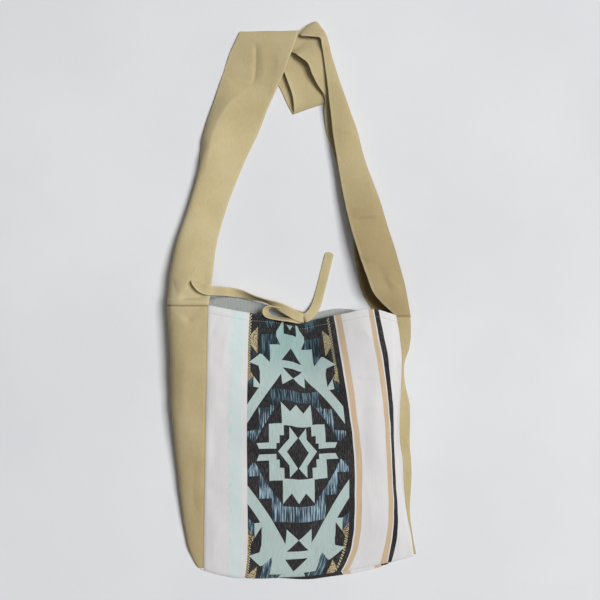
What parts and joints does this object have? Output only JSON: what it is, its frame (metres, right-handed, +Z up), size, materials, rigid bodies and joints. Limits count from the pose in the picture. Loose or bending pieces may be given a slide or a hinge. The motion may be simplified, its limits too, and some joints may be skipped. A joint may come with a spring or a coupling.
{
  "type": "crossbody bag",
  "caption": "Soft woven cloth crossbody bag lying flat, with a patterned front panel, plain canvas gussets, a wide folded shoulder strap and a knotted tie at the mouth.",
  "frame": {"origin": "centre of the outline on the floor the bag lies on", "axes": "+X to the bag's right as seen from above, +Y from the bottom seam to the strap's fold, +Z up from the back panel to the front panel"},
  "size_m": [0.3712, 0.8328, 0.0479],
  "materials": {
    "woven_front": "woven stripes and a geometric band",
    "woven_back": "woven stripes and a geometric band",
    "canvas": "matte canvas"
  },
  "bodies": {
    "root": {"front_panel": "woven_front", "back_panel": "woven_back", "left_gusset": "canvas", "right_gusset": "canvas", "shoulder_strap": "canvas", "front_tie": "canvas", "back_tie": "canvas"}
  },
  "joints": []
}
